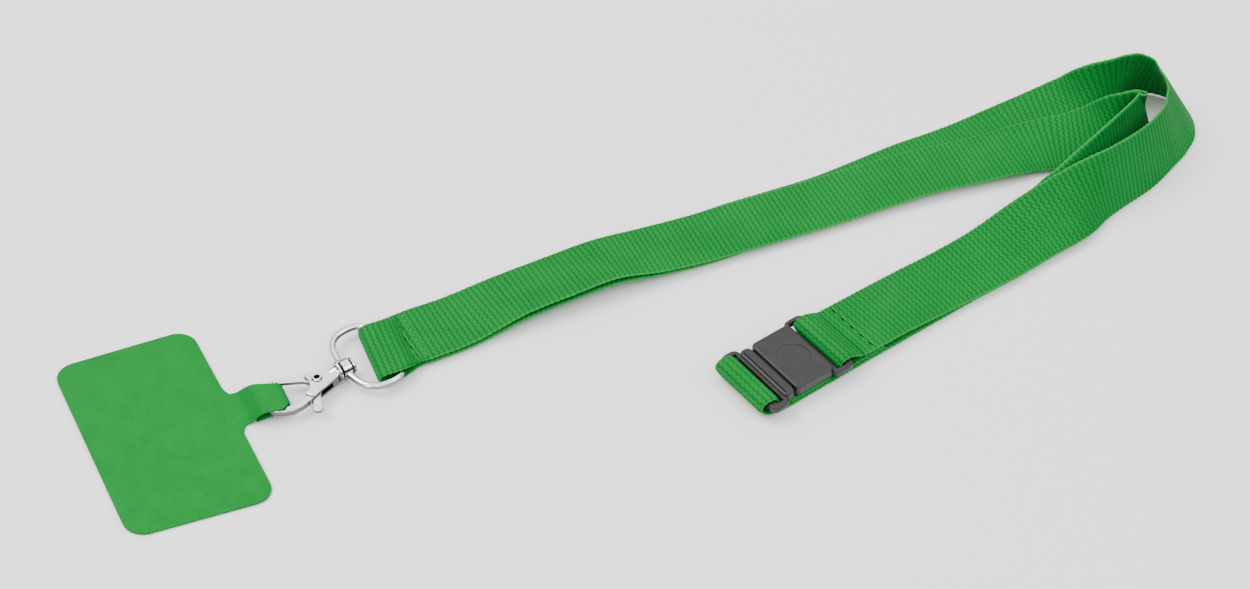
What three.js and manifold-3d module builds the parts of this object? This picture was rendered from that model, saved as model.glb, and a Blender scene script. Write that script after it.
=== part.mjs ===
// Phone lanyard: a loop of 20 mm webbing with a two-piece breakaway buckle, a D-ring with a swivelling trigger
// hook, and a T-shaped tether patch whose tab is looped through the hook. It lies on a table, folded in two.
// Millimetres, +Z up, +X from the patch along the folded strap. The origin is under the middle of the patch.
import * as THREE from "three";
import { mergeVertices } from "three/addons/utils/BufferGeometryUtils.js";
import Module from "manifold-3d";

const wasm = await Module();
wasm.setup();

// ---------------------------------------------------------------- driving dimensions
const WEB = { width: 20, thick: 1.0, sewnWidth: 19.4 }; // neck strap webbing
const THREAD = { wide: 0.5, thick: 0.25, lift: 0.06 }; // a row of stitches, seen as one flat thread
const PATCH = { thick: 0.6, corner: 5.5, fillet: 2.8, neckX: 21.2, neckY: [-6.2, 5.9] };
const TAB_THICK = 0.6;
const HOOK = { at: [42.6, -0.8, 2.9], yaw: 13, nose: 2.3, cheeks: 3.4, slot: 1.7, neckR: 1.9 };
const FLANGE = { radius: 3.1, from: 5.9, to: 6.7 };
const STEM = { radius: 1.3, bore: 1.65, headR: 2.3, headAt: 10.3, tip: 11.6 };
const BOSS = { radius: 2.7, from: 7.0, to: 10.0, chamfer: 0.4 };
const RING = { wire: 1.0, mid: 0.5, half: 11.7, bar: 20.4, corner: 2.5 };
const LEVER = { thick: 1.25, hubR: 2.3, hole: 1.35 };
const RIVET = { shank: 1.0, headR: 1.5, head: 0.4, gap: 0.12, dimple: 0.75, dimpleDepth: 1.1 };
const BUCKLE = { at: [162.5, -42.0], yaw: 15, bottom: 2.65, top: 6.0, half: 10, round: 0.55, corner: 1.7 };
const FEMALE = { from: -6.5, to: 6.5, slot: [7.0, 10.2], end: 12.5, ear: 11.6 };
const MALE = { from: -10.6, to: -6.9, slot: [-13.6, -11.4], end: -15.8, ear: 11.9, drop: 0.3 };
const BAR = { z: 4.1, high: 2.0, slotHalf: 10.3 }; // the two webbing bars of the buckle
const MOUTH = { half: 8.6, low: 3.35, high: 5.25, deep: 4.4 }; // hollow inside the female housing

// ---------------------------------------------------------------- materials
const colour = (hex, roughness, metalness = 0) => new THREE.MeshStandardMaterial({ color: hex, roughness, metalness });
const webbing = () => colour(0x2f9c48, 0.8);
const thread = () => colour(0x3aa653, 0.7);
const cloth = () => colour(0x37a04a, 0.85);
const chrome = () => colour(0xd8dadc, 0.12, 1);
const plastic = () => colour(0x121315, 0.4);

// ---------------------------------------------------------------- solids
const xyz = (v) => new THREE.Vector3(...v);

// A three.js geometry as a manifold-3d solid.
function solid(geometry) {
  const bare = geometry.clone();
  bare.deleteAttribute("normal");
  bare.deleteAttribute("uv");
  const merged = mergeVertices(bare, 1e-4);
  return new wasm.Manifold(
    new wasm.Mesh({
      numProp: 3,
      vertProperties: merged.attributes.position.array,
      triVerts: new Uint32Array(merged.index.array),
    }),
  );
}

// A manifold-3d solid as a three.js geometry.
function geometryOf(body) {
  const mesh = body.getMesh();
  const geometry = new THREE.BufferGeometry();
  geometry.setAttribute("position", new THREE.BufferAttribute(new Float32Array(mesh.vertProperties), 3));
  geometry.setIndex(new THREE.BufferAttribute(new Uint32Array(mesh.triVerts), 1));
  geometry.computeVertexNormals();
  return geometry;
}

const join = (...geometries) => geometries.map(solid).reduce((sum, next) => sum.add(next));
const cut = (body, ...geometries) => geometries.map(solid).reduce((rest, next) => rest.subtract(next), body);

// A block between two corners.
function block(low, high) {
  const size = high.map((h, i) => h - low[i]);
  return new THREE.BoxGeometry(...size).translate(...low.map((l, i) => l + size[i] / 2));
}

// A closed outline drawn through its points, as straight lines or as one smooth curve.
function outline(points, smooth = false) {
  const flat = points.map((p) => new THREE.Vector2(...p));
  const shape = new THREE.Shape().moveTo(flat[0].x, flat[0].y);
  if (smooth) shape.splineThru(flat.slice(1));
  else flat.slice(1).forEach((p) => shape.lineTo(p.x, p.y));
  return shape;
}

// An outline from its corners, each turned with its own radius, or left sharp where that is 0.
function roundedOutline(corners, radii) {
  const shape = new THREE.Shape();
  corners.forEach((corner, i) => {
    const here = new THREE.Vector2(...corner);
    if (!radii[i]) return shape.lineTo(here.x, here.y);
    const before = new THREE.Vector2(...corners.at(i - 1)).sub(here).setLength(radii[i]).add(here);
    const after = new THREE.Vector2(...corners[(i + 1) % corners.length]).sub(here).setLength(radii[i]).add(here);
    if (i === 0) shape.moveTo(before.x, before.y);
    else shape.lineTo(before.x, before.y);
    shape.quadraticCurveTo(here.x, here.y, after.x, after.y);
  });
  return shape.closePath();
}

// A flat plate of the given shape, its middle at z, with its edges rounded over.
function plate(shape, thick, z, round = 0.3, curveSegments = 6) {
  const bevel = { bevelThickness: round, bevelSize: round, bevelOffset: -round, bevelSegments: 2 };
  const depth = thick - 2 * round;
  return new THREE.ExtrudeGeometry(shape, { depth, curveSegments, ...bevel }).translate(0, 0, z - depth / 2);
}

// A round piece about the X axis, from a profile of [radius, x] points that starts and ends on the axis.
function turnedX(profile, segments = 32) {
  const points = profile.map((p) => new THREE.Vector2(...p));
  return new THREE.LatheGeometry(points, segments).rotateZ(-Math.PI / 2);
}

// The same about the Z axis, from [radius, z] points.
function turnedZ(profile, segments = 32) {
  const points = profile.map((p) => new THREE.Vector2(...p));
  return new THREE.LatheGeometry(points, segments).rotateX(Math.PI / 2);
}

// ---------------------------------------------------------------- webbing
// A uniform Catmull-Rom curve through any number of values per station.
function through(stations, t) {
  const last = stations.length - 1;
  const k = Math.min(Math.floor(t * last), last - 1);
  const f = t * last - k;
  const at = (i) => stations[Math.max(0, Math.min(last, i))];
  return stations[0].map((_, c) => {
    const [a, b, d, e] = [at(k - 1)[c], at(k)[c], at(k + 1)[c], at(k + 2)[c]];
    return b + 0.5 * f * (d - a + f * (2 * a - 5 * b + 4 * d - e + f * (3 * (b - d) + e - a)));
  });
}

// Where the webbing is at t, for stations [x, y, z, lean]. At lean 0 it lies flat, at 90 it stands on its edge.
function frameAt(stations, t) {
  const step = 1e-3;
  const [x, y, z, lean] = through(stations, t);
  const ahead = xyz(through(stations, Math.min(1, t + step)).slice(0, 3));
  const along = ahead.sub(xyz(through(stations, Math.max(0, t - step)).slice(0, 3))).normalize();
  const left = new THREE.Vector3(-along.y, along.x, 0).normalize();
  const angle = THREE.MathUtils.degToRad(lean);
  const across = left.multiplyScalar(Math.cos(angle)).add(new THREE.Vector3(0, 0, Math.sin(angle)));
  across.addScaledVector(along, -across.dot(along)).normalize();
  return { centre: new THREE.Vector3(x, y, z), along, across, up: along.clone().cross(across) };
}

// A length of webbing along its stations, as a closed strip.
function strip(stations, segments) {
  const geometry = new THREE.BoxGeometry(1, WEB.width, WEB.thick, segments, 1, 1);
  const position = geometry.attributes.position;
  for (let i = 0; i < position.count; i++) {
    const f = frameAt(stations, position.getX(i) + 0.5);
    f.centre.addScaledVector(f.across, position.getY(i)).addScaledVector(f.up, position.getZ(i));
    position.setXYZ(i, ...f.centre.toArray());
  }
  return geometry;
}

// A strip folded over a bar that lies across it: stations [x, y, z, width], with the width always along Y.
function folded(stations, thick, segments) {
  const geometry = new THREE.BoxGeometry(1, 1, thick, segments, 1, 1);
  const position = geometry.attributes.position;
  const step = 1e-3;
  for (let i = 0; i < position.count; i++) {
    const t = position.getX(i) + 0.5;
    const [x, y, z, width] = through(stations, t);
    const [x1, , z1] = through(stations, Math.min(1, t + step));
    const [x0, , z0] = through(stations, Math.max(0, t - step));
    const along = new THREE.Vector2(x1 - x0, z1 - z0).normalize();
    const off = position.getZ(i);
    position.setXYZ(i, x - along.y * off, y + position.getY(i) * width, z + along.x * off);
  }
  return geometry;
}

// A row of stitches across the webbing at t, just above its upper face.
function stitchRow(stations, t, side = 1) {
  const f = frameAt(stations, t);
  const rise = side * (WEB.thick / 2 + THREAD.lift + THREAD.thick / 2);
  const turn = new THREE.Matrix4().makeBasis(f.along, f.across, f.up);
  turn.setPosition(f.centre.addScaledVector(f.up, rise));
  return new THREE.BoxGeometry(THREAD.wide, WEB.sewnWidth - 1.6, THREAD.thick).applyMatrix4(turn);
}

// The ply that is underneath on the long run: from the ring, round the outside of the far turn, to the buckle.
const LOWER_PLY = [
  [70, 5.9, 1.05, 0],
  [75, 6.4, 0.9, 0],
  [86, 7.7, 0.8, -1],
  [101, 9.4, 2, -7],
  [116, 10.7, 2.8, -8],
  [130, 11.8, 2.9, -8],
  [144, 12.3, 1.6, -4],
  [158, 13, 0.7, -1],
  [172, 14, 0.6, 0],
  [187, 14.3, 0.6, 0],
  [201, 14.8, 0.6, 0],
  [215, 16.6, 0.6, 0],
  [229, 18.6, 0.6, 0],
  [242, 19.6, 0.6, 0],
  [252, 20.8, 0.6, 0],
  [262, 21.8, 1, 3],
  [270, 21.4, 2.3, 10],
  [278, 19.8, 4.6, 24],
  [284, 18, 7.2, 42],
  [289, 17.5, 9.2, 60],
  [294, 17.8, 10.2, 76],
  [298.6, 19.2, 10.4, 90],
  [303, 19.8, 10, 101],
  [307.5, 18.2, 9.4, 112],
  [310.3, 14.3, 9, 119],
  [311, 8.6, 8.8, 122],
  [308.9, 2.5, 8.8, 122],
  [304.5, -2.2, 9.1, 118],
  [299, -6.9, 9.7, 111],
  [288.6, -12.6, 9.8, 111],
  [275.8, -16.7, 9.8, 113],
  [267.5, -18.7, 9.5, 122],
  [258.3, -20.8, 8, 142],
  [246.5, -22.2, 5.2, 161],
  [233.3, -25.2, 3.3, 172],
  [219.8, -27.9, 2.5, 177],
  [206.3, -30.7, 2.5, 178],
  [194, -33.6, 2.9, 180],
  [185.6, -35.8, 3.15, 180],
  [179.2, -37.55, 3.5, 180],
];

// The ply on top of it: from the ring, round the inside of the turn, then underneath to the other buckle half.
const UPPER_PLY = [
  [70, 5.9, 2.45, 0],
  [75, 6.4, 2.3, 0],
  [86, 7.6, 2.2, -2],
  [101, 9.8, 3.5, -8],
  [116, 10.9, 4.4, -9],
  [130, 12.1, 4.6, -9],
  [144, 12.1, 3.1, -4],
  [158, 12.2, 2.2, -2],
  [172, 12.4, 2.1, -1],
  [187, 12.5, 2.1, -1],
  [201, 12.8, 2.1, -1],
  [215, 13.2, 2.2, -2],
  [229, 13.2, 2.4, -3],
  [243, 12.2, 2.4, -3],
  [253, 11.6, 2.4, -2],
  [262.5, 11.3, 2.15, 2],
  [270, 9.9, 2.6, 8],
  [277, 7, 4, 20],
  [284, 4.2, 6.6, 38],
  [289.6, 3.6, 8.6, 58],
  [294.2, 4.3, 9.6, 82],
  [296.8, 3.9, 9.8, 103],
  [296.6, 2.2, 9.8, 110],
  [293.9, 0.3, 9.9, 109],
  [288.3, -2.4, 10.1, 105],
  [276.2, -9, 10.15, 108],
  [269, -13.3, 9.3, 119],
  [260.9, -18, 7.6, 137],
  [253.7, -19.4, 4.3, 158],
  [246, -21.1, 2.9, 167],
  [234.9, -23.9, 1.6, 174],
  [221.3, -26.8, 0.7, 179],
  [207.8, -30.2, 0.5, 180],
  [194.4, -33.6, 0.5, 180],
  [180.9, -37.1, 0.5, 180],
  [167.3, -40.7, 0.5, 180],
  [154.1, -44.25, 0.5, 180],
];

// Round the bar of the D-ring, from the upper ply to the lower one.
const RING_LOOP = [
  [68.8, 4.9, 2.8, 19.4],
  [67.8, 4.4, 3.5, 19.5],
  [66, 3.5, 4.4, 19.7],
  [63.5, 3.1, 4.6, 19.8],
  [60.8, 3.1, 4.55, 19.8],
  [58.9, 3.1, 3.95, 19.6],
  [58.3, 3.15, 2.7, 19.4],
  [58.9, 3.2, 1.4, 19.6],
  [61.2, 3.5, 0.65, 19.8],
  [64.5, 4, 0.55, 19.8],
  [67.2, 4.7, 0.8, 19.6],
  [68.8, 5.2, 1, 19.4],
];

// Round the female bar of the buckle, in the buckle's own frame: over the bar, through the slot, under the bar.
const FEMALE_LOOP = [
  [16.7, 0, 3.75, 20],
  [14.6, 0, 4.85, 19.9],
  [12.7, 0, 5.7, 19.8],
  [11.2, 0, 5.9, 19.8],
  [9.7, 0, 5.55, 19.8],
  [8.9, 0, 4.6, 19.8],
  [8.9, 0, 3.4, 19.8],
  [9.7, 0, 2.4, 19.8],
  [11.4, 0, 1.95, 19.8],
  [13.4, 0, 1.82, 19.8],
];
const FEMALE_TAIL = [
  [13.7, 0, 1.8, 19.8],
  [24.5, 0, 1.8, 19.8],
];

// Round the male bar of the buckle: up from underneath, over the bar, and down through the slot.
const MALE_LOOP = [
  [-9.0, 0, 0.5, 20],
  [-12.5, 0.3, 0.55, 20],
  [-15.2, 0.7, 0.95, 19.9],
  [-16.9, 1.0, 2.0, 19.8],
  [-17.5, 1.1, 3.4, 19.8],
  [-17.1, 1.0, 4.8, 19.8],
  [-15.9, 0.8, 5.7, 19.8],
  [-14.4, 0.6, 5.85, 19.8],
  [-13.1, 0.4, 5.5, 19.8],
  [-12.5, 0.3, 4.5, 19.8],
  [-12.4, 0.2, 3.3, 19.8],
  [-11.8, 0.1, 2.3, 19.8],
  [-10.4, 0, 1.85, 19.8],
  [-8.6, 0, 1.8, 19.8],
];
const MALE_TAIL = [
  [-8.3, 0, 1.8, 19.8],
  [5.5, 0, 1.8, 19.8],
];

// The tab of the patch: up over the nose of the hook, down through its jaw, and back to the neck underneath.
const TAB = [
  [21.5, -0.1, 0.3, 12.0],
  [22.6, -0.4, 0.8, 11.9],
  [24.2, -1.0, 2.5, 11.4],
  [26.0, -1.9, 4.1, 11.0],
  [28.0, -2.6, 4.5, 10.6],
  [31.0, -3.2, 4.52, 9.8],
  [32.5, -2.7, 4.15, 8.3],
  [33.3, -2.4, 3.2, 7.2],
  [32.9, -2.3, 2.1, 7.3],
  [31.5, -2.3, 1.35, 8.4],
  [28.0, -1.8, 1.15, 9.5],
  [25.5, -1.2, 0.8, 10.4],
  [24.1, -0.8, 0.36, 11.0],
];

// ---------------------------------------------------------------- patch
// Four corners of the card and the neck that the tab grows from, in order round the edge.
function patchOutline() {
  const { corner, fillet, neckX, neckY } = PATCH;
  const corners = [
    [-21.9, 32.3],
    [-16.5, -32.1],
    [22.1, -33.4],
    [19.7, neckY[0]],
    [neckX, neckY[0]],
    [neckX, neckY[1]],
    [18.6, neckY[1]],
    [16.3, 33.1],
  ];
  return roundedOutline(corners, [corner, corner, corner, fillet * 0.5, 0, 0, fillet * 0.5, corner]);
}

// ---------------------------------------------------------------- trigger hook, in its own frame
// The rivet is the origin. +X runs to the swivel, the jaw and nose are on -X, and the gate is on +Y.
function hookBody() {
  const nose = outline([
    [2.2, -3.3],
    [-1.4, -4.4],
    [-4.5, -5.4],
    [-7.5, -6.0],
    [-10.4, -6.1],
    [-13.0, -5.2],
    [-14.8, -3.8],
    [-16.0, -1.7],
    [-16.4, 0.6],
    [-15.8, 3.2],
    [-14.2, 5.3],
    [-12.0, 6.5],
    [-9.8, 6.8],
    [-10.3, 4.85],
    [-11.4, 4.45],
    [-12.9, 3.6],
    [-13.9, 2.1],
    [-14.2, 0.4],
    [-13.8, -1.4],
    [-12.6, -2.9],
    [-10.6, -3.9],
    [-8.2, -4.1],
    [-6.1, -3.6],
    [-4.2, -2.5],
    [-2.6, -0.8],
    [1.0, 1.5],
  ]);
  const cheeks = outline([
    [-2.4, 3.0],
    [5.1, 1.8],
    [6.2, 1.6],
    [6.2, -1.7],
    [4.6, -2.8],
    [1.6, -3.6],
    [-1.4, -4.4],
    [-3.9, -5.2],
    [-5.2, -3.2],
    [-3.9, -2.3],
    [-2.7, -0.8],
    [-2.2, 1.2],
  ]);
  const { radius, from, to } = FLANGE;
  const swivel = turnedX([
    [0, 3.6],
    [HOOK.neckR, 3.6],
    [HOOK.neckR, from - 0.4],
    [radius - 0.3, from],
    [radius, from + 0.25],
    [radius, to - 0.25],
    [radius - 0.3, to],
    [STEM.radius, to],
    [STEM.radius, STEM.headAt],
    [STEM.headR, STEM.headAt],
    [STEM.headR, STEM.headAt + 0.5],
    [STEM.headR * 0.6, STEM.tip - 0.2],
    [0, STEM.tip],
  ]);
  const whole = join(plate(nose, HOOK.nose, 0, 0.5), plate(cheeks, HOOK.cheeks, 0, 0.3), swivel);
  const half = HOOK.slot / 2;
  const slot = block([-8.5, -9, -half], [3.2, 9, half]);
  const hole = turnedZ([
    [0, -3],
    [LEVER.hole, -3],
    [LEVER.hole, 3],
    [0, 3],
  ]);
  // The lever's slot is cut only where the lever works, so the spine stays solid left of the jaw.
  const reach = outline([
    [-6.4, 2.6],
    [-3.4, 0.2],
    [-4.0, -2.4],
    [-5.6, -3.7],
    [-5.8, -8],
    [2.8, -8],
    [3.2, 4.5],
    [-6.4, 4.5],
  ]);
  const room = solid(slot).intersect(solid(plate(reach, 8, 0, 0.1)));
  return geometryOf(cut(whole, hole).subtract(room));
}

// The lever: a hub on the rivet, an arm that closes the jaw, and a tab for the thumb.
function gateLever() {
  const arm = outline([
    [-0.4, 3.0],
    [-3.0, 4.0],
    [-8.7, 6.6],
    [-9.2, 6.3],
    [-9.1, 5.0],
    [-8.6, 4.7],
    [-3.4, 1.9],
    [-1.6, -0.2],
    [1.6, -0.4],
    [1.6, 1.5],
  ]);
  const thumb = outline([
    [-1.7, 0.2],
    [-2.5, -2.8],
    [-4.2, -5.2],
    [-5.9, -8.4],
    [-5.6, -9.3],
    [-4.8, -9.8],
    [-3.8, -9.6],
    [-3.2, -8.9],
    [-1.9, -5.2],
    [0.4, -2.6],
    [1.8, 0],
  ]);
  const half = LEVER.thick / 2;
  const hub = turnedZ([
    [0, -half],
    [LEVER.hubR, -half],
    [LEVER.hubR, half],
    [0, half],
  ]);
  const hole = turnedZ([
    [0, -3],
    [LEVER.hole, -3],
    [LEVER.hole, 3],
    [0, 3],
  ]);
  return geometryOf(cut(join(plate(arm, LEVER.thick, 0, 0.25), plate(thumb, LEVER.thick, 0, 0.25), hub), hole));
}

// A tubular rivet with a head on each cheek and a dimple in its upper end.
function gateRivet() {
  const face = HOOK.cheeks / 2 + RIVET.gap;
  const end = face + RIVET.head;
  return turnedZ([
    [0, -end],
    [RIVET.headR - 0.25, -end],
    [RIVET.headR, -face - 0.1],
    [RIVET.headR, -face],
    [RIVET.shank, -face],
    [RIVET.shank, face],
    [RIVET.headR, face],
    [RIVET.headR, face + 0.1],
    [RIVET.headR - 0.25, end],
    [RIVET.dimple + 0.15, end],
    [RIVET.dimple, end - 0.15],
    [RIVET.dimple, end - RIVET.dimpleDepth],
    [0, end - RIVET.dimpleDepth],
  ]);
}

// The D-ring: a straight bar for the webbing, a bowed side with a boss that the hook's stem turns in.
function dRing() {
  const { mid, half, bar, corner } = RING;
  const near = mid - half;
  const far = mid + half;
  const side = (y, inward) => [
    [8.6, mid + inward * 4.2],
    [9.8, y - inward * 3.2],
    [12.2, y - inward * 0.8],
    [15.8, y],
    [19.3, y - inward * 0.7],
    [bar, y - inward * corner],
  ];
  const route = [[8.3, mid], ...side(far, 1), [bar, mid + 4], [bar, mid - 4], ...side(near, -1).reverse()];
  const curve = new THREE.CatmullRomCurve3(
    route.map(([x, y]) => new THREE.Vector3(x, y, 0)),
    true,
    "centripetal",
  );
  const wire = new THREE.TubeGeometry(curve, 96, RING.wire, 12, true);
  const { radius, from, to, chamfer } = BOSS;
  const boss = turnedX([
    [0, from],
    [radius - chamfer, from],
    [radius, from + chamfer],
    [radius, to - chamfer],
    [radius - chamfer, to],
    [0, to],
  ]);
  const bore = turnedX([
    [0, from - 3],
    [STEM.bore, from - 3],
    [STEM.bore, to + 3],
    [0, to + 3],
  ]);
  return geometryOf(cut(join(wire, boss), bore));
}

// ---------------------------------------------------------------- buckle, in its own frame
// +X runs towards the strap of the female half. Heights are above the table.
const rounded = (x0, x1, y0, y1, r) =>
  roundedOutline(
    [
      [x0, y0],
      [x1, y0],
      [x1, y1],
      [x0, y1],
    ],
    [r, r, r, r],
  );

// A frame that holds a webbing bar: two ears and the bar, round a slot.
function barFrame(from, end, slot, ear) {
  const frame = plate(rounded(Math.min(from, end), Math.max(from, end), -ear, ear, 2.2), BAR.high, BAR.z, 0.5);
  const gap = block([slot[0], -BAR.slotHalf, 0], [slot[1], BAR.slotHalf, 9]);
  return cut(solid(frame), gap);
}

function femaleHousing() {
  const { from, to, slot, end, ear } = FEMALE;
  const { bottom, top, half, round, corner } = BUCKLE;
  const shell = plate(rounded(from, to, -half, half, corner), top - bottom, (top + bottom) / 2, round);
  const mouth = block([from - 1, -MOUTH.half, MOUTH.low], [MOUTH.deep, MOUTH.half, MOUTH.high]);
  const recess = turnedZ([
    [0, top - 0.15],
    [4.6, top - 0.15],
    [4.9, top + 1],
    [0, top + 1],
  ]).translate(0, -0.4, 0);
  return geometryOf(cut(solid(shell).add(barFrame(to - 0.7, end, slot, ear)), mouth, recess));
}

function maleLatch() {
  const { from, to, slot, end, ear, drop } = MALE;
  const { bottom, top, half, round, corner } = BUCKLE;
  const high = top - drop - bottom;
  const head = plate(rounded(from, to, -half, half, corner), high, bottom + high / 2, round);
  const tongue = outline([
    [to - 1, -7.6],
    [-1.5, -7.4],
    [0.6, -8.2],
    [2.6, -7.2],
    [3.2, -5.4],
    [1.6, -4.4],
    [-3.6, -4.2],
    [-4.4, -1.6],
    [1.6, -1.3],
    [1.6, 1.3],
    [-4.4, 1.6],
    [-3.6, 4.2],
    [1.6, 4.4],
    [3.2, 5.4],
    [2.6, 7.2],
    [0.6, 8.2],
    [-1.5, 7.4],
    [to - 1, 7.6],
  ]);
  const groove = block([-9.9, -half + 1.2, top - drop - 0.4], [-9.4, half - 1.2, top]);
  const body = solid(head).add(solid(plate(tongue, 1.2, (MOUTH.low + MOUTH.high) / 2, 0.2)));
  return geometryOf(cut(body.add(barFrame(from + 0.7, end, slot, ear)), groove));
}

// ---------------------------------------------------------------- assembly
const lanyard = new THREE.Group();
const hook = new THREE.Group();
hook.position.set(...HOOK.at);
hook.rotation.z = THREE.MathUtils.degToRad(HOOK.yaw);
const buckle = new THREE.Group();
buckle.position.set(...BUCKLE.at, 0);
buckle.rotation.z = THREE.MathUtils.degToRad(BUCKLE.yaw);
lanyard.add(hook, buckle);

function add(group, name, geometry, material) {
  const mesh = new THREE.Mesh(geometry, material);
  mesh.name = name;
  group.add(mesh);
}

add(lanyard, "patch_panel", plate(patchOutline(), PATCH.thick, PATCH.thick / 2, 0.1, 8), cloth());
add(lanyard, "patch_tab", folded(TAB, TAB_THICK, 48), cloth());

add(hook, "hook_body", hookBody(), chrome());
add(hook, "gate_lever", gateLever(), chrome());
add(hook, "gate_rivet", gateRivet(), chrome());
add(hook, "d_ring", dRing(), chrome());

add(lanyard, "strap_lower_ply", strip(LOWER_PLY, 150), webbing());
add(lanyard, "strap_upper_ply", strip(UPPER_PLY, 150), webbing());
add(lanyard, "strap_ring_loop", folded(RING_LOOP, WEB.thick, 44), webbing());
add(buckle, "strap_female_loop", folded(FEMALE_LOOP, WEB.thick, 40), webbing());
add(buckle, "strap_female_tail", folded(FEMALE_TAIL, WEB.thick, 4), webbing());
add(buckle, "strap_male_loop", folded(MALE_LOOP, WEB.thick, 56), webbing());
add(buckle, "strap_male_tail", folded(MALE_TAIL, WEB.thick, 4), webbing());

add(lanyard, "ring_seam_thread", stitchRow(UPPER_PLY, 0.012), thread());
add(lanyard, "ring_second_thread", stitchRow(UPPER_PLY, 0.024), thread());
add(lanyard, "female_seam_thread", stitchRow(LOWER_PLY, 0.985), thread());

add(buckle, "female_housing", femaleHousing(), plastic());
add(buckle, "male_latch", maleLatch(), plastic());

export default lanyard;
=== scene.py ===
import math
import bmesh
import bpy
import numpy as np
from mathutils import Matrix, Vector, noise


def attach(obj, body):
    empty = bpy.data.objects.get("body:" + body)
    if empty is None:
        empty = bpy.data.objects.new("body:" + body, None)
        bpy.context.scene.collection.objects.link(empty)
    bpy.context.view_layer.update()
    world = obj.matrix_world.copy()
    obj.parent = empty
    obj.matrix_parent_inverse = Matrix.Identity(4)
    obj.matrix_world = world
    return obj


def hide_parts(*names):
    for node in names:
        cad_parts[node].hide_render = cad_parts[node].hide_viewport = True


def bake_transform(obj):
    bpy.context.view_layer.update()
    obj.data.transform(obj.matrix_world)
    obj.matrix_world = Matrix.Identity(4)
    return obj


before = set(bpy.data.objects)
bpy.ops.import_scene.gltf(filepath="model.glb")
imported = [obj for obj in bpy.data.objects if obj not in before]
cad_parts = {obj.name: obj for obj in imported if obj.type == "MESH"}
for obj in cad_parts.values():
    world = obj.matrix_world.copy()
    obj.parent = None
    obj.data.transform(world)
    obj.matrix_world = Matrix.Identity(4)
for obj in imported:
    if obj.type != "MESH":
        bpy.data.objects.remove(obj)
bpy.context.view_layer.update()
MM = 0.001

# ---------------------------------------------------------------- camera, at the photograph's viewing angle
camera_data = bpy.data.cameras.new("camera")
camera_data.sensor_fit = "HORIZONTAL"
camera_data.sensor_width = 36
camera_data.lens = 69.12
camera_data.clip_start = 0.01
camera_data.clip_end = 10
camera = bpy.data.objects.new("camera", camera_data)
camera.location = (-0.0430, -0.4312, 0.4748)
camera.rotation_euler = (math.radians(44.5), 0, math.radians(-22))
bpy.context.scene.collection.objects.link(camera)
bpy.context.scene.camera = camera


# ---------------------------------------------------------------- node materials
class Shader:
    """A principled material with a few short calls for its nodes."""

    def __init__(self, name, **sockets):
        self.material = bpy.data.materials.new(name)
        self.material.use_nodes = True
        self.tree = self.material.node_tree
        self.bsdf = self.tree.nodes["Principled BSDF"]
        for key, value in sockets.items():
            self.bsdf.inputs[key.replace("_", " ")].default_value = value

    def node(self, kind, **settings):
        made = self.tree.nodes.new(kind)
        for key, value in settings.items():
            setattr(made, key, value)
        return made

    def link(self, a, b):
        self.tree.links.new(a, b)

    def math(self, operation, a, b=0.0, c=0.0):
        made = self.node("ShaderNodeMath", operation=operation)
        for i, value in enumerate((a, b, c)):
            if isinstance(value, (int, float)):
                made.inputs[i].default_value = value
            else:
                self.link(value, made.inputs[i])
        return made.outputs[0]

    def noise(self, scale, detail=3.0, rough=0.6, vector=None):
        made = self.node("ShaderNodeTexNoise")
        made.inputs["Scale"].default_value = scale
        made.inputs["Detail"].default_value = detail
        made.inputs["Roughness"].default_value = rough
        if vector is None:
            vector = self.node("ShaderNodeTexCoord").outputs["Object"]
        self.link(vector, made.inputs["Vector"])
        return made.outputs["Fac"]

    def ramp(self, fac, low, high, at=(0.0, 1.0)):
        made = self.node("ShaderNodeValToRGB")
        made.color_ramp.elements[0].position, made.color_ramp.elements[1].position = at
        made.color_ramp.elements[0].color = (*low, 1)
        made.color_ramp.elements[1].color = (*high, 1)
        self.link(fac, made.inputs[0])
        return made.outputs[0]

    def mix(self, fac, a, b, blend="MIX"):
        made = self.node("ShaderNodeMix", data_type="RGBA", blend_type=blend)
        for socket, value in ((made.inputs[0], fac), (made.inputs[6], a), (made.inputs[7], b)):
            if isinstance(value, (int, float)):
                socket.default_value = value
            elif isinstance(value, tuple):
                socket.default_value = (*value, 1)
            else:
                self.link(value, socket)
        return made.outputs[2]

    def colour(self, socket):
        self.link(socket, self.bsdf.inputs["Base Color"])

    def rough(self, socket, low, high):
        made = self.node("ShaderNodeMapRange")
        made.inputs["To Min"].default_value = low
        made.inputs["To Max"].default_value = high
        self.link(socket, made.inputs["Value"])
        self.link(made.outputs[0], self.bsdf.inputs["Roughness"])

    def bump(self, height, distance, strength=1.0):
        made = self.node("ShaderNodeBump")
        made.inputs["Distance"].default_value = distance
        made.inputs["Strength"].default_value = strength
        self.link(height, made.inputs["Height"])
        self.link(made.outputs[0], self.bsdf.inputs["Normal"])


RIB = 1.55  # rib pitch along the webbing, mm
THICK = 1.0  # webbing thickness, mm
WARP = 0.9  # warp pitch across it, mm


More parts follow.
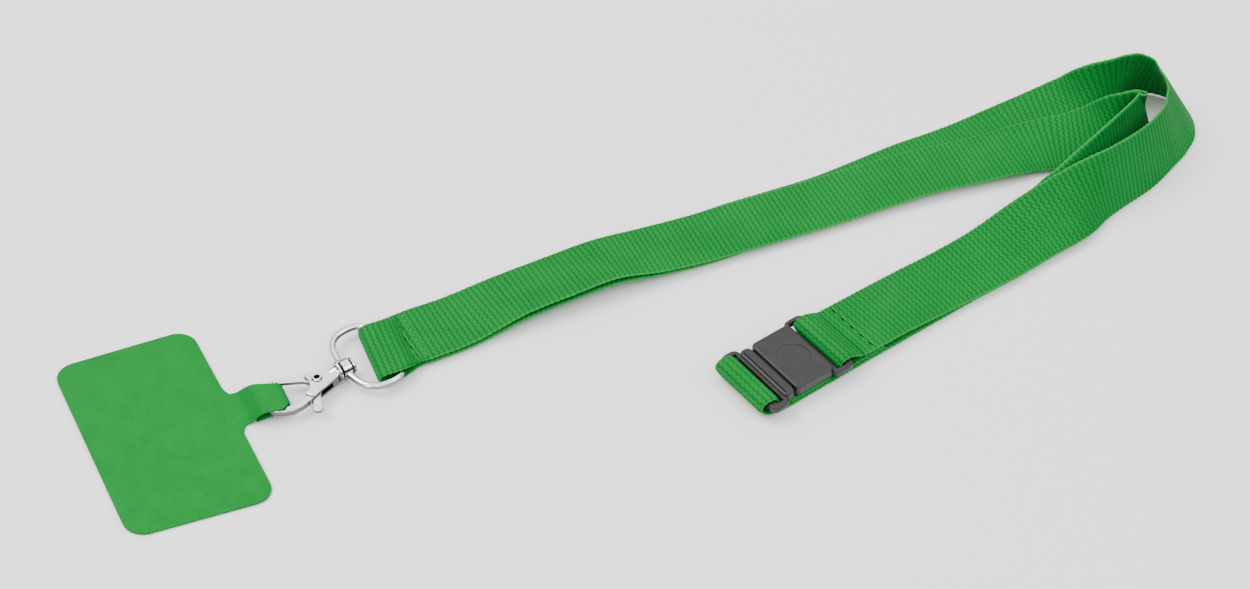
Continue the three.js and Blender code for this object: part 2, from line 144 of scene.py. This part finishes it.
def webbing_material(low, high):
    s = Shader("green_webbing", Roughness=0.85, Sheen_Weight=0.03, Sheen_Roughness=0.4, Specular_IOR_Level=0.12)
    split = s.node("ShaderNodeSeparateXYZ")
    s.link(s.node("ShaderNodeUVMap", uv_map="weave").outputs[0], split.inputs[0])
    along, across = split.outputs[0], split.outputs[1]
    wander = s.noise(900, 2)
    # A warp thread passes over every other rib, and its neighbour over the ones between.
    column = s.math("MULTIPLY", across, 1 / WARP)
    odd = s.math("MODULO", s.math("FLOOR", s.math("ADD", column, 400.0)), 2.0)
    rib = s.math("ADD", s.math("MULTIPLY", along, 1 / RIB), s.math("MULTIPLY", odd, 0.16))
    rib = s.math("ADD", rib, s.math("MULTIPLY", wander, 0.14))
    crown = s.math("ABSOLUTE", s.math("COSINE", s.math("MULTIPLY", rib, math.pi)))
    thread = s.math("ABSOLUTE", s.math("SINE", s.math("MULTIPLY", column, math.pi)))
    thread = s.math("POWER", thread, 0.5)
    crown = s.math("POWER", crown, 0.6)
    height = s.math("MULTIPLY", crown, s.math("ADD", s.math("MULTIPLY", thread, 0.45), 0.55))
    height = s.math("ADD", height, s.math("MULTIPLY", s.noise(4200, 2), 0.16))
    # The colour follows the weave's height: painted shade in the grooves, lighter on the crowns.
    base = s.ramp(height, low, high, (0.12, 0.95))
    patchy = s.ramp(s.noise(60, 4), (0.9, 0.9, 0.9), (1.08, 1.08, 1.08), (0.3, 0.7))
    cloth = s.mix(1.0, base, patchy, "MULTIPLY")
    # Painted highlight: the cloth is painted lighter along both edges. Painted shade: it is painted darker in the
    # stitch dents.
    # Painted highlight along both edges of the webbing.
    edge_highlight = s.math("SUBTRACT", s.math("ABSOLUTE", s.math("SUBTRACT", across, 40.0)), 9.35)
    edge_highlight = s.math("MULTIPLY", s.math("MAXIMUM", edge_highlight, 0.0), 0.9)
    cloth = s.mix(edge_highlight, cloth, (0.045, 0.36, 0.075))
    # Painted shade: the cloth colour is darkened in the stitch dents.
    dent_shade = s.node("ShaderNodeAttribute", attribute_name="dent_shade").outputs["Fac"]
    s.colour(s.mix(s.math("MULTIPLY", dent_shade, 0.8), cloth, (0.001, 0.045, 0.006)))
    s.rough(height, 0.95, 0.75)
    s.bump(height, 0.00015, 0.9)
    return s.material


def thread_material():
    s = Shader("sewing_thread", Roughness=0.6, Sheen_Weight=0.05, Sheen_Roughness=0.4)
    wave = s.node("ShaderNodeTexWave", wave_type="BANDS", bands_direction="DIAGONAL")
    s.link(s.node("ShaderNodeTexCoord").outputs["Object"], wave.inputs["Vector"])
    wave.inputs["Scale"].default_value = 900
    s.colour(s.ramp(wave.outputs["Fac"], (0.012, 0.24, 0.035), (0.035, 0.36, 0.065)))
    s.bump(wave.outputs["Fac"], 0.00004)
    return s.material


def card_material():
    s = Shader("card_cloth", Roughness=0.9, Sheen_Weight=0.02, Sheen_Roughness=0.5, Specular_IOR_Level=0.1)
    place = s.node("ShaderNodeTexCoord").outputs["Object"]
    fine = []
    for direction in ("X", "Y"):
        wave = s.node("ShaderNodeTexWave", wave_type="BANDS", bands_direction=direction)
        s.link(place, wave.inputs["Vector"])
        wave.inputs["Scale"].default_value = 800
        wave.inputs["Distortion"].default_value = 1.2
        wave.inputs["Detail Scale"].default_value = 2
        fine.append(wave.outputs["Fac"])
    weave = s.math("MULTIPLY", s.math("ADD", fine[0], fine[1]), 0.5)
    grain = s.math("ADD", s.math("MULTIPLY", weave, 0.35), s.math("MULTIPLY", s.noise(2600, 3), 0.65))
    base = s.ramp(grain, (0.0006, 0.165, 0.021), (0.0015, 0.215, 0.030), (0.25, 0.75))
    mottle = s.ramp(s.noise(150, 5, 0.65), (0.9, 0.92, 0.9), (1.07, 1.05, 1.07), (0.32, 0.68))
    s.colour(s.mix(1.0, base, mottle, "MULTIPLY"))
    s.rough(grain, 0.92, 0.74)
    s.bump(grain, 0.00005, 0.8)
    return s.material


def chrome_material():
    tint = (0.93, 0.935, 0.94)
    s = Shader("bright_plate", Metallic=1.0, Roughness=0.08)
    cloud = s.noise(240, 4)
    dull = tuple(c * 0.94 for c in tint)
    plate = s.ramp(cloud, dull, tint, (0.3, 0.6))
    # Painted shade and painted reflection: the plate colour is kept bright on top, made greyer down the sides by
    # surface direction, and darkened in the corners by ambient occlusion.
    split = s.node("ShaderNodeSeparateXYZ")
    s.link(s.node("ShaderNodeTexCoord").outputs["Normal"], split.inputs[0])
    # Painted shade down the sides, from how far the surface turns away from facing up.
    side = s.math("ABSOLUTE", split.outputs[2])
    plate = s.mix(1.0, plate, s.ramp(side, (0.16, 0.16, 0.17), (1, 1, 1), (0.12, 0.55)), "MULTIPLY")
    # Painted shade in the corners, from ambient occlusion.
    corner_shade = s.node("ShaderNodeAmbientOcclusion", samples=8)
    corner_shade.inputs["Distance"].default_value = 0.0016
    s.colour(s.mix(1.0, plate, s.ramp(corner_shade.outputs["AO"], (0.05, 0.05, 0.05), (1, 1, 1), (0.35, 0.8)), "MULTIPLY"))
    s.rough(s.noise(900, 3), 0.05, 0.13)
    s.bump(s.noise(500, 2), 0.00002, 0.35)
    return s.material


def plastic_material():
    s = Shader("buckle_plastic", Roughness=0.42, Specular_IOR_Level=0.45)
    grain = s.noise(5200, 2)
    s.colour(s.ramp(s.noise(300, 4), (0.012, 0.012, 0.0124), (0.018, 0.018, 0.0184), (0.3, 0.7)))
    s.rough(s.noise(700, 3), 0.34, 0.5)
    s.bump(grain, 0.00003, 0.7)
    return s.material


WEBBING = webbing_material((0.0004, 0.090, 0.013), (0.001, 0.195, 0.026))
THREAD = thread_material()
CARD = card_material()
CHROME = chrome_material()
PLASTIC = plastic_material()


# ---------------------------------------------------------------- meshes
def mesh_object(name, vertices, faces, material, uv=None, sharp=None):
    mesh = bpy.data.meshes.new(name)
    mesh.from_pydata([tuple(map(float, v)) for v in vertices], [], [tuple(map(int, f)) for f in faces])
    mesh.validate()
    if uv is not None:
        layer = mesh.uv_layers.new(name="weave")
        index = np.zeros(len(mesh.loops), np.int32)
        mesh.loops.foreach_get("vertex_index", index)
        layer.data.foreach_set("uv", np.asarray(uv, np.float32)[index].ravel())
    mesh.shade_smooth()
    if sharp is not None:
        mesh.set_sharp_from_angle(angle=math.radians(sharp))
    mesh.materials.append(material)
    made = bpy.data.objects.new(name, mesh)
    bpy.context.scene.collection.objects.link(made)
    return made


def through(stations, t):
    """A uniform Catmull-Rom curve through the stations, at each of the values t from 0 to 1."""
    p = np.asarray(stations, float)
    last = len(p) - 1
    k = np.minimum((t * last).astype(int), last - 1)
    f = (t * last - k)[:, None]
    a, b, c, d = (p[np.clip(k + i, 0, last)] for i in (-1, 0, 1, 2))
    return b + 0.5 * f * (c - a + f * (2 * a - 5 * b + 4 * c - d + f * (3 * (b - c) + d - a)))


def even(stations, step):
    """Values of t that are an even step apart along the curve, and how far along it they are, in mm."""
    fine = np.linspace(0, 1, 60 * len(stations))
    line = through(stations, fine)[:, :3]
    run = np.concatenate([[0], np.cumsum(np.linalg.norm(np.diff(line, axis=0), axis=1))])
    marks = np.linspace(0, run[-1], max(2, int(round(run[-1] / step)) + 1))
    return np.interp(marks, run, fine), marks


def unit(v):
    return v / np.maximum(np.linalg.norm(v, axis=1), 1e-12)[:, None]


def lying(stations, step=RIB / 4):
    """Centres, across and up directions of webbing with stations [x, y, z, lean], and how far along each is."""
    t, marks = even(stations, step)
    here = through(stations, t)
    ahead = through(stations, np.minimum(t + 1e-3, 1))[:, :3]
    along = unit(ahead - through(stations, np.maximum(t - 1e-3, 0))[:, :3])
    left = unit(np.stack([-along[:, 1], along[:, 0], np.zeros(len(t))], 1))
    lean = np.radians(here[:, 3])[:, None]
    across = np.cos(lean) * left + np.sin(lean) * np.array([0, 0, 1.0])
    across = unit(across - along * (along * across).sum(1)[:, None])
    return here[:, :3], across, np.cross(along, across), marks, np.full(len(t), 20.0)


def folded(stations, step=RIB / 4):
    """The same for webbing folded over a bar, with stations [x, y, z, width] and its width along Y."""
    t, marks = even(stations, step)
    here = through(stations, t)
    ahead = through(stations, np.minimum(t + 1e-3, 1))[:, :3]
    along = ahead - through(stations, np.maximum(t - 1e-3, 0))[:, :3]
    along[:, 1] = 0
    along = unit(along)
    across = np.tile([0, 1.0, 0], (len(t), 1))
    return here[:, :3], across, np.cross(along, across), marks, here[:, 3]


def webbing(name, frames, start=0.0, place=None, dents=(), slim=None, columns=19, face=1):
    """Ribbed webbing along its frames. start is the rib phase in mm, and dents are (along, across, radius, depth),
    on the up side for face 1 and the other side for face -1."""
    centre, across, up, marks, width = frames
    if slim is not None:
        width = width * slim(marks)
    half = np.concatenate([np.linspace(-1, 1, columns), np.linspace(1, -1, columns)])
    level = np.concatenate([np.ones(columns), -np.ones(columns)])
    edge = np.abs(half) > 0.999
    level = np.where(edge, level * 0.35, level)
    rib = np.abs(np.cos(np.pi * (marks + start) / RIB)) ** 0.7  # 1 on a rib's crown, 0 in a groove
    # For each point, how deep in a stitch dent it lies; the webbing material paints the cloth darker there as painted
    # shade.
    vertices, uv, dent_shade = [], [], []
    for i in range(len(marks)):
        jitter = noise.noise(Vector((marks[i] * 0.9, start, 3.1))) * 0.1
        scallop = 0.2 * (rib[i] - 1) + jitter
        w = half * (width[i] / 2 - 0.12 + np.where(edge, 0.12 + scallop, 0))
        h = level * (THICK / 2 - 0.07 * (1 - rib[i]))
        dark = np.zeros(len(w))
        for s, a, radius, depth in dents:
            if abs(marks[i] - s) < 3 * radius:
                near = np.exp(-((marks[i] - s) ** 2 + (w - a) ** 2) / radius**2)
                h = h - face * np.where(level * face > 0, depth * near, 0)
                dark = np.maximum(dark, np.where(level * face > 0, near, 0))
        dent_shade.append(dark)
        vertices.append(centre[i] + across[i] * w[:, None] + up[i] * h[:, None])
        uv.append(np.stack([np.full(len(w), marks[i] + start), w + 40], 1))
    n = len(half)
    points = np.concatenate(vertices) * MM
    faces = []
    for i in range(len(marks) - 1):
        for j in range(n):
            a, b = i * n + j, i * n + (j + 1) % n
            faces.append((a, b, b + n, a + n))
    faces.append(tuple(range(n - 1, -1, -1)))
    faces.append(tuple(range((len(marks) - 1) * n, len(marks) * n)))
    made = mesh_object(name, points, [f[::-1] for f in faces], WEBBING, np.concatenate(uv))
    made.data.attributes.new("dent_shade", "FLOAT", "POINT").data.foreach_set("value", np.concatenate(dent_shade))
    if place is not None:
        made.data.transform(place)
    return made


def tube(points, radius, sides):
    """Vertices and faces of a round tube along points, narrowing at both ends."""
    p = np.asarray(points, float)
    n = len(p)
    tangent = unit(np.gradient(p, axis=0))
    side = np.zeros_like(p)
    first = np.array([0, 0, 1.0]) if abs(tangent[0][2]) < 0.9 else np.array([1.0, 0, 0])
    side[0] = first
    for i in range(n):
        v = side[i - 1] if i else first
        v = v - tangent[i] * np.dot(v, tangent[i])
        side[i] = v / np.linalg.norm(v)
    other = np.cross(tangent, side)
    angle = np.linspace(0, 2 * np.pi, sides, endpoint=False)
    ring = np.cos(angle)[:, None, None] * side + np.sin(angle)[:, None, None] * other
    size = np.full(n, radius)
    size[0] = size[-1] = radius * 0.35
    vertices = (p[None] + ring * size[None, :, None]).transpose(1, 0, 2).reshape(-1, 3)
    faces = []
    for i in range(n - 1):
        for j in range(sides):
            a, b = i * sides + j, i * sides + (j + 1) % sides
            c = (i + 1) * sides
            faces.append((a, b, c + (j + 1) % sides, c + j))
    faces.append(tuple(range(sides - 1, -1, -1)))
    faces.append(tuple(range((n - 1) * sides, n * sides)))
    return vertices, faces


def gather(pieces):
    """Several (vertices, faces) as one."""
    vertices, faces, base = [], [], 0
    for v, f in pieces:
        vertices.append(v)
        faces += [tuple(i + base for i in face) for face in f]
        base += len(v)
    return np.concatenate(vertices), faces


def stitches(name, frames, at, pitch, length, inset=1.4, sink=0.12, radius=0.17, face=1):
    """A row of stitches across the webbing, each one a short thread that dips into the cloth at both ends."""
    centre, across, up, marks, width = frames
    i = int(np.argmin(np.abs(marks - at)))
    reach = width[i] / 2 - inset
    count = int(2 * reach / pitch)
    made = []
    for k in range(count):
        middle = -reach + (k + 0.5) * 2 * reach / count
        bend = np.linspace(-1, 1, 9)
        lift = 0.5 - sink + 0.2 * (1 - bend**4) - 0.35 * bend**8
        line = [
            centre[i] + across[i] * (middle + b * length / 2) + up[i] * h * face
            for b, h in zip(bend, lift)
        ]
        made.append(tube(line, radius, 8))
    vertices, faces = gather(made)
    piece = mesh_object(name, vertices * MM, faces, THREAD)
    return piece


# ---------------------------------------------------------------- neck strap
# The two plies' stations are x, y, z in metres and the lean in degrees, and the loops' are x, y, z and width.
LOWER_PLY = [
    (0.07, 0.0059, 0.00105, 0),
    (0.075, 0.0064, 0.0009, 0),
    (0.086, 0.0077, 0.0008, -1),
    (0.101, 0.0094, 0.002, -7),
    (0.116, 0.0107, 0.0028, -8),
    (0.13, 0.0118, 0.0029, -8),
    (0.144, 0.0123, 0.0016, -4),
    (0.158, 0.013, 0.0007, -1),
    (0.172, 0.014, 0.0006, 0),
    (0.187, 0.0143, 0.0006, 0),
    (0.201, 0.0148, 0.0006, 0),
    (0.215, 0.0166, 0.0006, 0),
    (0.229, 0.0186, 0.0006, 0),
    (0.242, 0.0196, 0.0006, 0),
    (0.252, 0.0208, 0.0006, 0),
    (0.262, 0.0218, 0.001, 3),
    (0.27, 0.0214, 0.0023, 10),
    (0.278, 0.0198, 0.0046, 24),
    (0.284, 0.018, 0.0072, 42),
    (0.289, 0.0175, 0.0092, 60),
    (0.294, 0.0178, 0.0102, 76),
    (0.2986, 0.0192, 0.0104, 90),
    (0.303, 0.0198, 0.01, 101),
    (0.3075, 0.0182, 0.0094, 112),
    (0.3103, 0.0143, 0.009, 119),
    (0.311, 0.0086, 0.0088, 122),
    (0.3089, 0.0025, 0.0088, 122),
    (0.3045, -0.0022, 0.0091, 118),
    (0.299, -0.0069, 0.0097, 111),
    (0.2886, -0.0126, 0.0098, 111),
    (0.2758, -0.0167, 0.0098, 113),
    (0.2675, -0.0187, 0.0095, 122),
    (0.2583, -0.0208, 0.008, 142),
    (0.2465, -0.0222, 0.0052, 161),
    (0.2333, -0.0252, 0.0033, 172),
    (0.2198, -0.0279, 0.0025, 177),
    (0.2063, -0.0307, 0.0025, 178),
    (0.194, -0.0336, 0.0029, 180),
    (0.1856, -0.0358, 0.00315, 180),
    (0.1792, -0.03755, 0.0035, 180),
]
UPPER_PLY = [
    (0.07, 0.0059, 0.00245, 0),
    (0.075, 0.0064, 0.0023, 0),
    (0.086, 0.0076, 0.0022, -2),
    (0.101, 0.0098, 0.0035, -8),
    (0.116, 0.0109, 0.0044, -9),
    (0.13, 0.0121, 0.0046, -9),
    (0.144, 0.0121, 0.0031, -4),
    (0.158, 0.0122, 0.0022, -2),
    (0.172, 0.0124, 0.0021, -1),
    (0.187, 0.0125, 0.0021, -1),
    (0.201, 0.0128, 0.0021, -1),
    (0.215, 0.0132, 0.0022, -2),
    (0.229, 0.0132, 0.0024, -3),
    (0.243, 0.0122, 0.0024, -3),
    (0.253, 0.0116, 0.0024, -2),
    (0.2625, 0.0113, 0.00215, 2),
    (0.27, 0.0099, 0.0026, 8),
    (0.277, 0.007, 0.004, 20),
    (0.284, 0.0042, 0.0066, 38),
    (0.2896, 0.0036, 0.0086, 58),
    (0.2942, 0.0043, 0.0096, 82),
    (0.2968, 0.0039, 0.0098, 103),
    (0.2966, 0.0022, 0.0098, 110),
    (0.2939, 0.0003, 0.0099, 109),
    (0.2883, -0.0024, 0.0101, 105),
    (0.2762, -0.009, 0.01015, 108),
    (0.269, -0.0133, 0.0093, 119),
    (0.2609, -0.018, 0.0076, 137),
    (0.2537, -0.0194, 0.0043, 158),
    (0.246, -0.0211, 0.0029, 167),
    (0.2349, -0.0239, 0.0016, 174),
    (0.2213, -0.0268, 0.0007, 179),
    (0.2078, -0.0302, 0.0005, 180),
    (0.1944, -0.0336, 0.0005, 180),
    (0.1809, -0.0371, 0.0005, 180),
    (0.1673, -0.0407, 0.0005, 180),
    (0.1541, -0.04425, 0.0005, 180),
]
RING_LOOP = [
    (0.0688, 0.0049, 0.0028, 0.0194),
    (0.0678, 0.0044, 0.0035, 0.0195),
    (0.066, 0.0035, 0.0044, 0.0197),
    (0.0635, 0.0031, 0.0046, 0.0198),
    (0.0608, 0.0031, 0.00455, 0.0198),
    (0.0589, 0.0031, 0.00395, 0.0196),
    (0.0583, 0.00315, 0.0027, 0.0194),
    (0.0589, 0.0032, 0.0014, 0.0196),
    (0.0612, 0.0035, 0.00065, 0.0198),
    (0.0645, 0.004, 0.00055, 0.0198),
    (0.0672, 0.0047, 0.0008, 0.0196),
    (0.0688, 0.0052, 0.001, 0.0194),
]
FEMALE_LOOP = [
    (0.0167, 0, 0.00375, 0.02),
    (0.0146, 0, 0.00485, 0.0199),
    (0.0127, 0, 0.0057, 0.0198),
    (0.0112, 0, 0.0059, 0.0198),
    (0.0097, 0, 0.00555, 0.0198),
    (0.0089, 0, 0.0046, 0.0198),
    (0.0089, 0, 0.0034, 0.0198),
    (0.0097, 0, 0.0024, 0.0198),
    (0.0114, 0, 0.00195, 0.0198),
    (0.0134, 0, 0.00182, 0.0198),
]
FEMALE_TAIL = [
    (0.0137, 0, 0.0018, 0.0198),
    (0.0245, 0, 0.0018, 0.0198),
]
MALE_LOOP = [
    (-0.009, 0, 0.0005, 0.02),
    (-0.0125, 0.0003, 0.00055, 0.02),
    (-0.0152, 0.0007, 0.00095, 0.0199),
    (-0.0169, 0.001, 0.002, 0.0198),
    (-0.0175, 0.0011, 0.0034, 0.0198),
    (-0.0171, 0.001, 0.0048, 0.0198),
    (-0.0159, 0.0008, 0.0057, 0.0198),
    (-0.0144, 0.0006, 0.00585, 0.0198),
    (-0.0131, 0.0004, 0.0055, 0.0198),
    (-0.0125, 0.0003, 0.0045, 0.0198),
    (-0.0124, 0.0002, 0.0033, 0.0198),
    (-0.0118, 0.0001, 0.0023, 0.0198),
    (-0.0104, 0, 0.00185, 0.0198),
    (-0.0086, 0, 0.0018, 0.0198),
]
MALE_TAIL = [
    (-0.0083, 0, 0.0018, 0.0198),
    (0.0055, 0, 0.0018, 0.0198),
]


def in_mm(stations):
    return [(x * 1000, y * 1000, z * 1000, w) for x, y, z, w in stations]


def widths_in_mm(stations):
    return [tuple(v * 1000 for v in row) for row in stations]


buckle_place = Matrix.Translation((0.1625, -0.0420, 0)) @ Matrix.Rotation(math.radians(15), 4, "Z")


def stretch(frames, first, last):
    """Part of some frames, from one row to another."""
    return tuple(values[first:last] for values in frames)


# Both plies run on under the ring loop's ends, so the seam has no gap.
lower_frames = lying([(67.0, 5.3, 0.95, 0)] + in_mm(LOWER_PLY))
upper_frames = lying([(66.9, 5.25, 2.7, 0)] + in_mm(UPPER_PLY))
# The last 129 mm of the upper ply runs on to the buckle, and is a piece of its own that starts on the same row.
split_row = int(np.argmin(np.abs(upper_frames[3] - (upper_frames[3][-1] - 129))))
long_frames = stretch(upper_frames, 0, split_row + 1)
back_frames = stretch(upper_frames, split_row, None)
lower_end = lower_frames[3][-1]
ring_frames = folded(widths_in_mm(RING_LOOP))
female_frames = folded(widths_in_mm(FEMALE_LOOP))
male_frames = folded(widths_in_mm(MALE_LOOP))

tack = [(2.7, -7.6 + 3.8 * k, 0.8, 0.55) for k in range(5)]
sewn = lambda marks: 1 - 0.03 * np.exp(-(((marks - 1.5) / 4.0) ** 2))
strap_long = webbing("strap_upper_ply_cloth", long_frames, dents=tack, slim=sewn, columns=33)
strap_lower = webbing(
    "strap_lower_ply_cloth",
    lower_frames,
    dents=[(lower_end - 4.2, -7.6 + 3.8 * k, 0.8, 0.5) for k in range(5)],
    slim=sewn,
    columns=33,
    face=-1,
)
strap_back = webbing("strap_return_cloth", back_frames)
strap_ring = webbing("strap_ring_loop_cloth", ring_frames, start=-ring_frames[3][-1])
strap_female = webbing("strap_female_loop_cloth", female_frames, start=-female_frames[3][-1], place=buckle_place)
strap_female_tail = webbing("strap_female_tail_cloth", folded(widths_in_mm(FEMALE_TAIL)), place=buckle_place)
strap_male = webbing("strap_male_loop_cloth", male_frames, place=buckle_place)
strap_male_tail = webbing("strap_male_tail_cloth", folded(widths_in_mm(MALE_TAIL)), place=buckle_place)

for piece, node in (
    (strap_long, "strap_upper_ply"),
    (strap_lower, "strap_lower_ply"),
    (strap_ring, "strap_ring_loop"),
    (strap_female, "strap_female_loop"),
    (strap_female_tail, "strap_female_tail"),
    (strap_male, "strap_male_loop"),
    (strap_male_tail, "strap_male_tail"),
):
    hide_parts(node)
    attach(piece, "buckle_male" if "_male_" in piece.name else "strap")
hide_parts("strap_upper_ply")
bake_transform(strap_back)

ring_row = stitches("ring_seam_stitches", long_frames, 2.7, 3.8, 2.4, inset=0.5)
second_row = stitches("ring_second_stitches", long_frames, 5.0, 1.9, 1.7, sink=0.2, radius=0.13)
female_row = stitches("female_seam_stitches", lower_frames, lower_end - 4.2, 3.8, 2.4, inset=0.5, face=-1)
for piece, node in (
    (ring_row, "ring_seam_thread"),
    (second_row, "ring_second_thread"),
    (female_row, "female_seam_thread"),
):
    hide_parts(node)
    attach(piece, "strap")


# ---------------------------------------------------------------- tether patch
TAB = [
    (0.0215, -0.0001, 0.0003, 0.012),
    (0.0226, -0.0004, 0.0008, 0.0119),
    (0.0242, -0.001, 0.0025, 0.0114),
    (0.026, -0.0019, 0.0041, 0.011),
    (0.028, -0.0026, 0.0045, 0.0106),
    (0.031, -0.0032, 0.00452, 0.0098),
    (0.0325, -0.0027, 0.00415, 0.0083),
    (0.0333, -0.0024, 0.0032, 0.0072),
    (0.0329, -0.0023, 0.0021, 0.0073),
    (0.0315, -0.0023, 0.00135, 0.0084),
    (0.028, -0.0018, 0.00115, 0.0095),
    (0.0255, -0.0012, 0.0008, 0.0104),
    (0.0241, -0.0008, 0.00036, 0.011),
]


def patch_rows():
    """Rows of the card from its left edge to the end of its tab: near and far end of each row, and its up direction."""
    rows = []
    radius, left, right = 5.5, 0.0, 38.4
    slant = 0.0845
    for s in np.concatenate([
        np.linspace(0, radius, 12) ** 1.6 / radius**0.6,
        np.linspace(radius, right - radius, 30)[1:-1],
        (right - np.linspace(0, radius, 12) ** 1.6 / radius**0.6)[::-1],
    ]):
        inset = 0.0
        for d in (s - left, right - s):
            if d < radius:
                inset = radius - math.sqrt(max(radius**2 - (radius - d) ** 2, 0))
        f = s / right
        far = 32.4 + 0.7 * f - inset
        near = -32.2 - 1.1 * f + inset
        x0 = -19.2 + s
        rows.append(((x0 - slant * near, near, 0.3), (x0 - slant * far, far, 0.3), (0, 0, 1)))
    x0 = -19.2 + right
    for step in np.linspace(0, 1, 7):  # the inside corners beside the neck
        grow = 2.9 * (1 - math.sin(step * math.pi / 2))
        x = x0 + 0.05 + step * 1.7
        rows.append(((x + 0.55, -6.2 - grow, 0.3), (x - 0.5, 5.9 + grow, 0.3), (0, 0, 1)))
    stations = widths_in_mm(TAB)
    t, _ = even(stations, 0.8)
    here = through(stations, t)
    along = unit(through(stations, np.minimum(t + 1e-3, 1))[:, :3] - through(stations, np.maximum(t - 1e-3, 0))[:, :3])
    for (x, y, z, w), a in zip(here, along):
        k = 0.045
        rows.append(((x + k * w / 2, y - w / 2, z), (x - k * w / 2, y + w / 2, z), (-a[2], 0, a[0])))
    return rows


def patch_mesh():
    rows = patch_rows()
    across = np.linspace(0, 1, 41)
    top, under, uv = [], [], []
    for near, far, up in rows:
        near, far, up = (np.array(v, float) for v in (near, far, up))
        up = up / np.linalg.norm(up)
        for f in across:
            p = near + (far - near) * f
            edge = min(1.0, min(f, 1 - f) * np.linalg.norm(far - near) / 0.25)
            half = 0.3 - 0.1 * (1 - edge)
            lift = 0.0
            if p[0] < 20:
                wave = noise.noise(Vector((p[0] * 0.05, p[1] * 0.045, 0.4)))
                lift = 0.18 * (wave + 0.5)
            top.append(p + up * (half + max(lift, 0)))
            under.append(p - up * half)
    n, m = len(across), len(rows)
    faces = []
    base = n * m
    for i in range(m - 1):
        for j in range(n - 1):
            a = i * n + j
            faces.append((a, a + n, a + n + 1, a + 1))
            faces.append((base + a, base + a + 1, base + a + n + 1, base + a + n))
    for i in range(m - 1):
        a = i * n
        faces.append((a, base + a, base + a + n, a + n))
        b = a + n - 1
        faces.append((b, b + n, base + b + n, base + b))
    for j in range(n - 1):
        faces.append((j, j + 1, base + j + 1, base + j))
        e = (m - 1) * n + j
        faces.append((e, base + e, base + e + 1, e + 1))
    return np.array(top + under) * MM, faces


vertices, faces = patch_mesh()
patch = mesh_object("tether_patch_card", vertices, faces, CARD, sharp=50)
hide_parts("patch_panel", "patch_tab")
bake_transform(patch)


# ---------------------------------------------------------------- metal and plastic, refined from the CAD nodes
def refine(node, name, material, body, angle=40):
    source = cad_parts[node]
    mesh = source.data.copy()
    mesh.name = name
    work = bmesh.new()
    work.from_mesh(mesh)
    bmesh.ops.remove_doubles(work, verts=work.verts, dist=2e-6)
    bmesh.ops.dissolve_limit(work, angle_limit=math.radians(1.0), verts=work.verts, edges=work.edges)
    work.to_mesh(mesh)
    work.free()
    mesh.materials.clear()
    mesh.materials.append(material)
    made = bpy.data.objects.new(name, mesh)
    bpy.context.scene.collection.objects.link(made)
    made.data.shade_smooth()
    made.data.set_sharp_from_angle(angle=math.radians(angle))
    flat = made.modifiers.new("flat", "WEIGHTED_NORMAL")  # keeps the broad faces flat beside their bevels
    flat.keep_sharp = True
    flat.weight = 80
    made.data = bpy.data.meshes.new_from_object(made.evaluated_get(bpy.context.evaluated_depsgraph_get()))
    made.modifiers.clear()
    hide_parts(node)
    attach(made, body)
    return made


refine("hook_body", "hook_body_plated", CHROME, "hook", 42)
refine("gate_lever", "gate_lever_plated", CHROME, "gate", 42)
refine("gate_rivet", "gate_rivet_plated", CHROME, "hook", 40)
refine("d_ring", "d_ring_plated", CHROME, "ring", 42)
refine("female_housing", "female_housing_moulded", PLASTIC, "strap", 35)
refine("male_latch", "male_latch_moulded", PLASTIC, "buckle_male", 35)


# ---------------------------------------------------------------- floor and light
floor_shader = Shader("studio_floor", Roughness=0.9, Specular_IOR_Level=0.1)
floor_shader.colour(floor_shader.ramp(floor_shader.noise(3, 2), (0.93, 0.93, 0.93), (0.95, 0.95, 0.95)))
bpy.ops.mesh.primitive_plane_add(size=6, location=(0.15, 0, -0.0002))
floor = bpy.context.object
floor.name = "floor"
floor.data.materials.append(floor_shader.material)

world = bpy.data.worlds.new("studio")
bpy.context.scene.world = world
world.use_nodes = True
nodes, links = world.node_tree.nodes, world.node_tree.links
background = nodes["Background"]
coordinate = nodes.new("ShaderNodeTexCoord")
split = nodes.new("ShaderNodeSeparateXYZ")
links.new(coordinate.outputs["Generated"], split.inputs[0])
ramp = nodes.new("ShaderNodeValToRGB")
ramp.color_ramp.elements[0].position = 0.34
ramp.color_ramp.elements[0].color = (0.02, 0.02, 0.022, 1)
ramp.color_ramp.elements[1].position = 0.55
ramp.color_ramp.elements[1].color = (1.0, 1.0, 1.0, 1)
links.new(split.outputs[2], ramp.inputs[0])
links.new(ramp.outputs[0], background.inputs["Color"])
background.inputs["Strength"].default_value = 1.9


def area_light(name, place, aim, size, power):
    data = bpy.data.lights.new(name, "AREA")
    data.shape = "DISK"
    data.size = size
    data.energy = power
    light = bpy.data.objects.new(name, data)
    light.location = place
    light.rotation_euler = (Vector(aim) - Vector(place)).to_track_quat("-Z", "Y").to_euler()
    bpy.context.scene.collection.objects.link(light)


area_light("key", (-0.5, 0.5, 1.2), (0.15, 0, 0), 0.9, 15)
area_light("fill", (0.9, -0.6, 1.0), (0.15, 0, 0), 0.8, 5)
area_light("front", (-1.0, -0.8, 0.6), (0.28, 0, 0), 0.6, 4)
